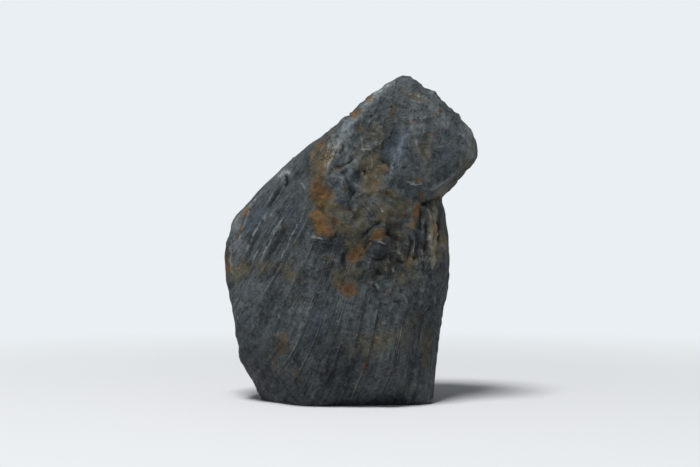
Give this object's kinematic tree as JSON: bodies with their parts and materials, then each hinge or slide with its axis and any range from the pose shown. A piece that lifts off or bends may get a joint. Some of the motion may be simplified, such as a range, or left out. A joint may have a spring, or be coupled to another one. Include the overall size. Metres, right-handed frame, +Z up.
{
  "type": "aquascape rock",
  "caption": "Leaning angular slate stone with a slanting back, a peak, and a blunt nose over a notch, on a flat foot, to stand in an aquarium.",
  "frame": {"origin": "middle of the bounding box in X and Y, at the level of the flat foot", "axes": "+Z up, +Y away from the front face, +X to the right towards the nose"},
  "size_m": [0.192, 0.1316, 0.2464],
  "materials": {
    "stone": "matt, dark blue-grey slate with rust-brown and ochre stains and pale layer edges"
  },
  "bodies": {
    "root": {"stone": "stone"}
  },
  "joints": []
}
